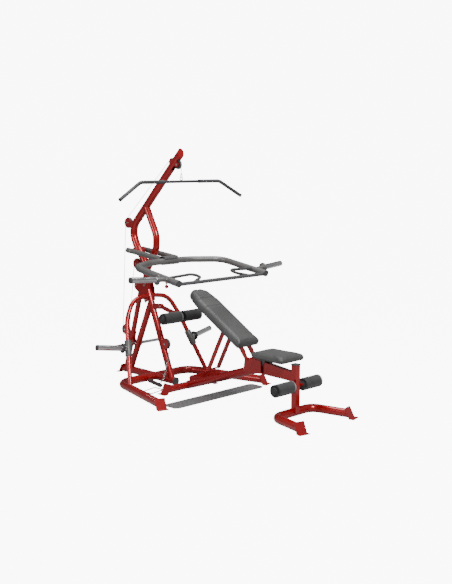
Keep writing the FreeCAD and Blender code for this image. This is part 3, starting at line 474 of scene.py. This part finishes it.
BACK_OUTLINE = round_corners([
    (0.004, -0.128, 0.022), (0.601, -0.128, 0.30), (0.726, -0.098, 0.09), (0.763, -0.044, 0.05),
    (0.763, 0.044, 0.05), (0.726, 0.098, 0.09), (0.601, 0.128, 0.30), (0.004, 0.128, 0.022)])
BACK_LEVELS = [(0.010, 0.0015), (0.003, 0.005), (0.002, 0.022), (0.003, 0.042), (0.007, 0.052),
               (0.014, 0.0572), (0.026, 0.0590)]
SEAT_OUTLINE = round_corners([
    (0.556, -0.126, 0.030), (0.918, -0.150, 0.042), (0.918, 0.150, 0.042), (0.556, 0.126, 0.030)])
SEAT_LEVELS = [(0.010, 0.0015), (0.003, 0.006), (0.002, 0.020), (0.003, 0.034), (0.008, 0.0425),
               (0.016, 0.0462), (0.028, 0.0475)]
SEAMS = (0.500, 0.612)

back_place = axes_place(BACK_LOW, BACK_UP, BACK_OUT)
upholster("back_rest_cushion", "back_pad", "back_rest", BACK_OUTLINE, BACK_LEVELS, back_place,
          0.008, SEAMS, 0.105)
seat_place = Matrix.Translation((0, 0, SEAT_PAD_BOTTOM))
upholster("seat_cushion", "seat_pad", "seat", SEAT_OUTLINE, SEAT_LEVELS, seat_place, 0.010, (), 0)


# ---- foam rollers ----
FOAM_RADIUS = 0.050
FOAM_BORE = 0.0135
FOAM_EDGE = 0.012
FOAM_FACE = 0.026     # the radius out to which the end face of a sleeve is flat
FOAM_AROUND = 72
FOAM_ROWS = 24
FOAM_RIPPLE = 0.0005  # the unevenness of the foam's outside


def foam_profile(start, end):
    """A closed section: rounded outer edges, and the bore back to the start."""
    profile = [(start, FOAM_BORE), (start, FOAM_FACE)]
    for i in range(7):
        angle = math.pi / 2 * i / 6
        profile.append((start + FOAM_EDGE * (1 - math.sin(angle)),
                        FOAM_RADIUS - FOAM_EDGE * (1 - math.cos(math.pi / 2 - angle))))
    straight = end - start - 2 * FOAM_EDGE
    inner = [(start + FOAM_EDGE + straight * i / FOAM_ROWS, FOAM_RADIUS)
             for i in range(1, FOAM_ROWS)]
    outer = [(end - (along - start), radius) for along, radius in reversed(profile)]
    return profile + inner + outer


def bore_faces(rows, around):
    """Quads that join the last ring of a turned section straight to its first."""
    last = (rows - 1) * around
    return [(i, (i + 1) % around, last + (i + 1) % around, last + i) for i in range(around)]


def foam_roller(name, node, body, centre, inner, outer):
    """A pair of foam sleeves on one axle, each from inner to outer along it."""
    shapes = []
    for sign in SIGNS:
        profile = foam_profile(inner, outer)
        verts, faces = lathe(centre, LEFT * sign, profile, FOAM_AROUND, ripple=FOAM_RIPPLE)
        faces += bore_faces(len(profile), FOAM_AROUND)
        shapes.append((verts, faces))
    roller = piece(name, body, "foam", *join(shapes))
    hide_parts(node)


CAP_PROFILE = [(-0.0004, 0.0135), (-0.0004, 0.0296), (0.0008, 0.0308), (0.0052, 0.0308),
               (0.0068, 0.0292), (0.0068, 0.0235), (0.0062, 0.0225), (0.0062, 0.0150),
               (0.0074, 0.0138), (0.0080, 0.0100), (0.0082, 0.0006)]
CAP_AROUND = 48


def end_caps(name, body, centre, half):
    """Moulded plugs over the discs that keep the foam on its axle."""
    shapes = []
    for sign in SIGNS:
        verts, faces = lathe(centre + LEFT * (half * sign), LEFT * sign, CAP_PROFILE, CAP_AROUND)
        last = (len(CAP_PROFILE) - 1) * CAP_AROUND
        faces.append(tuple(range(last, last + CAP_AROUND)))
        shapes.append((verts, faces))
    piece(name, body, "black_plastic", *join(shapes))


HOLD_AXLE = Vector((-0.420, 0, 0.640))
BENCH_AXLE = Vector((0.950, 0, 0.258))
foam_roller("hold_down_foam", "hold_down_rollers", "hold_rollers", HOLD_AXLE, 0.013, 0.213)
foam_roller("bench_foam", "bench_rollers", "bench_roller_pair", BENCH_AXLE, 0.060, 0.257)
end_caps("hold_down_foam_caps", "hold_down", HOLD_AXLE, 0.214)
end_caps("bench_foam_caps", "bench", BENCH_AXLE, 0.260)


# ---- sleeves and flanges of the plate horns ----
COLLAR_AROUND = 56


def collar(centre, direction, start, end, inner, outer, edge=0.0012):
    """Points and faces of a ring with softened edges."""
    profile = [(start, inner), (start, outer - edge), (start + edge * 0.3, outer - edge * 0.3),
               (start + edge, outer), (end - edge, outer), (end - edge * 0.3, outer - edge * 0.3),
               (end, outer - edge), (end, inner)]
    verts, faces = lathe(centre, direction, profile, COLLAR_AROUND)
    return verts, faces + bore_faces(len(profile), COLLAR_AROUND)


FLANGE_RADIUS = 0.0440
FLANGE_EDGE = 0.003
SLEEVE_HALF = 0.0706
HORN_HEIGHT = 0.360   # how far up the arch's leg the storage horn stands

storage_sleeves, storage_flanges, arm_flanges, bar_flanges = [], [], [], []
for sign in SIGNS:
    foot = Vector((-0.574, 0.458 * sign, 0.040))
    rise = (Vector((-0.806, 0.305 * sign, 0.600)) - foot).normalized()
    root = foot + rise * HORN_HEIGHT
    out = (Vector((-0.764, 0.664 * sign, 0.403)) - root).normalized()
    storage_sleeves.append(collar(root, rise, -SLEEVE_HALF, SLEEVE_HALF, 0.0214, 0.0306))
    storage_flanges.append(collar(root, out, 0.0508, 0.0614, 0.0252, FLANGE_RADIUS, FLANGE_EDGE))
    arm_root = Vector((0.003, 0.505 * sign, 1.056))
    arm_out = (Vector((-0.028, 0.862 * sign, 1.079)) - arm_root).normalized()
    arm_flanges.append(collar(arm_root, arm_out, 0.1068, 0.1174, 0.0192, FLANGE_RADIUS,
                              FLANGE_EDGE))
    arm_flanges.append(collar(arm_root, arm_out, 0.030, 0.1070, 0.0180, 0.0194))
    bar_end = Vector((-1.086, 0.060 * sign, 0.300))
    bar_flanges.append(collar(bar_end, LEFT * sign, -0.0006, 0.0068, 0.0152, 0.0336, 0.002))
piece("storage_sleeves", "tower", "grey_metal", *join(storage_sleeves))
piece("storage_flanges", "tower", "black_plastic", *join(storage_flanges))
piece("arm_horn_flanges", "press_arm", "grey_metal", *join(arm_flanges))
piece("weight_bar_flanges", "carriage", "black_plastic", *join(bar_flanges))


# ---- flat struts ----
STRUT_TOP = Vector((0.180, 0, 0.590))
STRUT_FOOT = Vector((-0.002, 0, 0.240))
STRUT_HALF = 0.0190
STRUT_APART = 0.0575  # each strut's distance from the middle


def flat_strut(sign):
    """A flat bar with round ends, over the plain rod of a strut."""
    run = STRUT_FOOT - STRUT_TOP
    place = axes_place(STRUT_TOP + LEFT * (STRUT_APART * sign), run.normalized(), LEFT * sign)
    near, far, radius = -0.013, run.length + 0.006, STRUT_HALF - 0.0004
    outline = round_corners([(near, -STRUT_HALF, radius), (far, -STRUT_HALF, radius),
                             (far, STRUT_HALF, radius), (near, STRUT_HALF, radius)])
    return shell(outline, [(0.0012, -0.0074), (0, -0.0062), (0, 0.0062), (0.0012, 0.0074)], place)


piece("flat_struts", "struts", "red_frame", *join([flat_strut(sign) for sign in SIGNS]),
      smooth=False)


# ---- lat bar grips ----
LAT_POINTS = [Vector((-0.370, -0.693, 1.693)), Vector((-0.402, -0.452, 1.829)),
              Vector((-0.402, 0.452, 1.829)), Vector((-0.370, 0.693, 1.693))]
GRIP_START = 0.205
GRIP_STEP = 0.006     # the distance between the ribs
GRIP_AROUND = 20
GRIP_RIM = 0.0168
GRIP_RADIUS = 0.0156
GRIP_RIB = 0.0003


def lat_grip(sign):
    """The ribbed sleeve from the middle part, round the bend, to the bar's end."""
    inner = Vector((-0.402, GRIP_START * sign, 1.829))
    corner = LAT_POINTS[2] if sign > 0 else LAT_POINTS[1]
    end = LAT_POINTS[3] if sign > 0 else LAT_POINTS[0]
    tip = end + (end - corner).normalized() * 0.004
    path = rounded_path([inner, corner, tip], [0.090], 14)
    fine = [path[0]]
    for before, after in zip(path, path[1:]):
        steps = max(1, round((after - before).length / GRIP_STEP))
        fine += [before.lerp(after, (i + 1) / steps) for i in range(steps)]
    verts = []
    count = len(fine)
    shape, faces = sweep(fine, 1.0, GRIP_AROUND)
    for i, centre in enumerate(fine):
        rim = i < 2 or i >= count - 2
        radius = GRIP_RIM if rim else GRIP_RADIUS + GRIP_RIB * (i % 2)
        for k in range(GRIP_AROUND):
            verts.append(centre + (shape[i * GRIP_AROUND + k] - centre) * radius)
    return verts, faces


piece("lat_bar_grips", "lat", "grip_rubber", *join([lat_grip(sign) for sign in SIGNS]))


# ---- cables and chain ----
CABLE_RADIUS = 0.0026
CABLE_ROWS = 40       # the rings along a span
CABLE_AROUND = 12
REAR_TOP = Vector((-1.1928, 0, 1.4401))
REAR_LOW = Vector((-1.2578, 0, 0.4231))
RETURN_TOP = Vector((-1.0725, 0, 1.0715))
RETURN_LOW = Vector((-1.1625, 0, 0.4135))
LAT_TOP = Vector((-0.4021, 0, 1.975))
LAT_LOW = Vector((-0.4021, 0, 1.899))


def span(name, node, top, low):
    """A taut cable between a fixed end and a moving one."""
    line = [top.lerp(low, i / CABLE_ROWS) for i in range(CABLE_ROWS + 1)]
    cable = piece(name, None, "cable_steel", *sweep(line, CABLE_RADIUS, CABLE_AROUND))
    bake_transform(cable)
    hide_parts(node)


span("rear_cable_span", "cable_rear_span", REAR_TOP, REAR_LOW)
span("return_cable_span", "cable_return_span", RETURN_TOP, RETURN_LOW)
span("lat_cable_span", "cable_lat", LAT_TOP, LAT_LOW)

CHAIN_ROUTE = [(-0.580, 0, 0.304), (-0.580, -0.014, 0.255), (-0.579, -0.030, 0.190),
               (-0.577, -0.052, 0.120), (-0.570, -0.084, 0.062), (-0.560, -0.122, 0.041),
               (-0.552, -0.142, 0.040)]
LINK_PITCH = 0.0225
LINK_WIRE = 0.0022
LINK_HALF_WIDE = 0.0062
LINK_STEPS = 8        # the steps in each round end of a link


def link(middle, ahead, flat):
    """One oval chain link; flat is the direction across its opening."""
    straight = LINK_PITCH / 2 + LINK_WIRE - LINK_HALF_WIDE
    points = []
    for end, offset in ((1, 0), (-1, math.pi)):
        for i in range(LINK_STEPS + 1):
            angle = offset - math.pi / 2 + math.pi * i / LINK_STEPS
            points.append(middle + ahead * (end * straight + LINK_HALF_WIDE * math.cos(angle))
                          + flat * (LINK_HALF_WIDE * math.sin(angle)))
    return sweep(points, LINK_WIRE, 10, closed=True)


def chain():
    """Points and faces of the links along the route, each turned a quarter from the last."""
    route = [Vector(p) for p in CHAIN_ROUTE]
    lengths = [0.0]
    for before, after in zip(route, route[1:]):
        lengths.append(lengths[-1] + (after - before).length)

    def at(distance):
        distance = min(max(distance, 0.0), lengths[-1] - 1e-6)
        run = max(i for i, length in enumerate(lengths) if length <= distance)
        return route[run].lerp(route[run + 1], (distance - lengths[run])
                               / (lengths[run + 1] - lengths[run]))

    shapes = []
    count = int(lengths[-1] / LINK_PITCH)
    for number in range(count):
        here = at((number + 0.5) * LINK_PITCH)
        ahead = (at((number + 1) * LINK_PITCH) - at(number * LINK_PITCH)).normalized()
        side, over = frame_of(ahead)
        shapes.append(link(here, ahead, side if number % 2 else over))
    return join(shapes)


links = piece("low_chain_links", "tower", "zinc", *chain())
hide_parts("low_chain")


# ---- tread plate ----
LUG_LONG, LUG_WIDE = 0.0115, 0.0034  # half sizes
LUG_AROUND = 10
LUG_STEPS = ((1.0, -0.0003), (0.72, 0.0009))  # its rings: part of its size, height on the plate
LUG_TOP = 0.0012


def lug(x, y, top, turn):
    """A low lens-shaped tread, on the plate's face."""
    verts = []
    along = Vector((math.cos(turn), math.sin(turn), 0))
    across = Vector((-along.y, along.x, 0))
    centre = Vector((x, y, top))
    for scale, rise in LUG_STEPS:
        for i in range(LUG_AROUND):
            angle = 2 * math.pi * i / LUG_AROUND
            verts.append(centre + along * (LUG_LONG * scale * math.cos(angle))
                         + across * (LUG_WIDE * scale * math.sin(angle)) + UP * rise)
    verts.append(centre + UP * LUG_TOP)
    faces = rings_to_faces(2, LUG_AROUND)
    faces += [(LUG_AROUND + i, LUG_AROUND + (i + 1) % LUG_AROUND, 2 * LUG_AROUND)
              for i in range(LUG_AROUND)]
    faces.append(tuple(reversed(range(LUG_AROUND))))
    return verts, faces


plate_low, plate_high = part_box("floor_plate")
PLATE_MARGIN = 0.018
CORNER_CLEAR = 0.050  # no lug where the distances to an end and a side add up to less
LUG_PITCH = 0.0240
lugs = []
columns = int((plate_high.x - plate_low.x - 2 * PLATE_MARGIN) / LUG_PITCH)
rows = int((plate_high.y - plate_low.y - 2 * PLATE_MARGIN) / LUG_PITCH)
for column in range(columns + 1):
    for row in range(rows + 1):
        x = plate_low.x + PLATE_MARGIN + column * LUG_PITCH
        y = plate_low.y + PLATE_MARGIN + row * LUG_PITCH
        near_end = min(y - plate_low.y, plate_high.y - y)
        near_side = min(x - plate_low.x, plate_high.x - x)
        if near_end + near_side > CORNER_CLEAR:
            turn = math.radians(45 if (column + row) % 2 else -45)
            lugs.append(lug(x, y, plate_high.z, turn))
piece("tread_lugs", "tower", "tread_plate", *join(lugs))


# ---- plain plaque on the press arm ----
plaque_place = axes_place(Vector((-0.5480, 0, 1.130)), LEFT, Vector((1, 0, 0)))
PLAQUE_LONG, PLAQUE_HIGH, PLAQUE_CORNER = 0.072, 0.021, 0.006  # half sizes, corner radius
plaque_outline = round_corners([(-PLAQUE_LONG, -PLAQUE_HIGH, PLAQUE_CORNER),
                                (PLAQUE_LONG, -PLAQUE_HIGH, PLAQUE_CORNER),
                                (PLAQUE_LONG, PLAQUE_HIGH, PLAQUE_CORNER),
                                (-PLAQUE_LONG, PLAQUE_HIGH, PLAQUE_CORNER)], 6)
piece("arm_plaque", "press_arm", "black_metal",
      *shell(plaque_outline, [(0.0, -0.004), (0.0, 0.0016), (0.0016, 0.0026), (0.0050, 0.0026),
                              (0.0060, 0.0018)], plaque_place), smooth=False)


# ---- stage, light and camera ----
STAGE_GLOW = 9.0      # how bright the camera sees the stage and the sky
SKY_LIGHT = 0.30
STAGE_HALF = 16.0
STAGE_NEAR = -14.0
STAGE_BEND = 9.0      # where the floor starts to curve up
STAGE_RADIUS = 3.0
STAGE_HEIGHT = 14.0


def plain(name, colour, rough):
    """A finish of one colour, for the stage only."""
    mat = bpy.data.materials.new(name)
    mat.use_nodes = True
    shader_node = mat.node_tree.nodes["Principled BSDF"]
    shader_node.inputs["Base Color"].default_value = (*colour, 1.0)
    shader_node.inputs["Roughness"].default_value = rough
    return mat


def glow_for_camera(mat):
    """Lets the camera see the stage as near white without its light reaching the machine."""
    shader_node = mat.node_tree.nodes["Principled BSDF"]
    seen = add_node(mat, "ShaderNodeLightPath").outputs["Is Camera Ray"]
    shader_node.inputs["Emission Color"].default_value = (1.0, 1.0, 1.0, 1.0)
    strength = add_node(mat, "ShaderNodeMath", {0: seen, 1: STAGE_GLOW}, operation="MULTIPLY")
    mat.node_tree.links.new(strength.outputs[0], shader_node.inputs["Emission Strength"])


def stage_floor():
    """A pale floor that curves up into a backdrop behind the machine."""
    away = Vector((-0.717, 0.697, 0))
    aside = Vector((0.697, 0.717, 0))
    profile = [(STAGE_NEAR, 0.0), (STAGE_BEND, 0.0)]
    for i in range(1, 13):
        angle = math.pi / 2 * i / 12
        profile.append((STAGE_BEND + STAGE_RADIUS * math.sin(angle),
                        STAGE_RADIUS * (1 - math.cos(angle))))
    profile.append((STAGE_BEND + STAGE_RADIUS, STAGE_HEIGHT))
    verts = []
    for distance, height in profile:
        for half in (-STAGE_HALF, STAGE_HALF):
            verts.append(away * distance + aside * half + UP * height)
    faces = [(2 * i, 2 * i + 1, 2 * i + 3, 2 * i + 2) for i in range(len(profile) - 1)]
    mesh = bpy.data.meshes.new("studio_floor")
    mesh.from_pydata([tuple(v) for v in verts], [], faces)
    mesh.update()
    mesh.polygons.foreach_set("use_smooth", [True] * len(mesh.polygons))
    obj = bpy.data.objects.new("studio_floor", mesh)
    bpy.context.scene.collection.objects.link(obj)
    obj.data.materials.append(plain("pale_floor", (0.35, 0.35, 0.35), 0.8))
    glow_for_camera(obj.data.materials[0])


def lamp(name, place, target, size, power):
    """A rectangular lamp that faces a target."""
    data = bpy.data.lights.new(name, "AREA")
    data.shape = "RECTANGLE"
    data.size, data.size_y = size
    data.energy = power
    obj = bpy.data.objects.new(name, data)
    obj.location = place
    obj.rotation_euler = (Vector(target) - Vector(place)).to_track_quat("-Z", "Y").to_euler()
    bpy.context.scene.collection.objects.link(obj)


stage_floor()
lamp("key_light", (4.5, -2.0, 4.6), (0, 0, 0.8), (2.0, 2.0), 420)
lamp("fill_light", (-1.5, -5.5, 2.8), (0, 0, 0.9), (2.0, 2.0), 80)
lamp("top_light", (0.0, 0.5, 5.2), (0, 0, 0), (3.0, 3.0), 260)
world = bpy.data.worlds.new("studio")
world.use_nodes = True
sky = world.node_tree.nodes["Background"].inputs
sky["Color"].default_value = (1.0, 1.0, 1.0, 1.0)
sky_seen = add_node(world, "ShaderNodeLightPath").outputs["Is Camera Ray"]
sky_glow = add_node(world, "ShaderNodeMath", {0: sky_seen, 1: STAGE_GLOW, 2: SKY_LIGHT},
                    operation="MULTIPLY_ADD")
world.node_tree.links.new(sky_glow.outputs[0], sky["Strength"])
bpy.context.scene.world = world

camera_data = bpy.data.cameras.new("camera")
camera_data.lens = 55.295
camera_data.sensor_width = 36.0
camera = bpy.data.objects.new("camera", camera_data)
camera.location = (5.481, -5.186, 1.992)
view_direction = Vector((-0.7092, 0.6903, -0.1428))
camera.rotation_euler = view_direction.to_track_quat("-Z", "Y").to_euler()
bpy.context.scene.collection.objects.link(camera)
bpy.context.scene.camera = camera
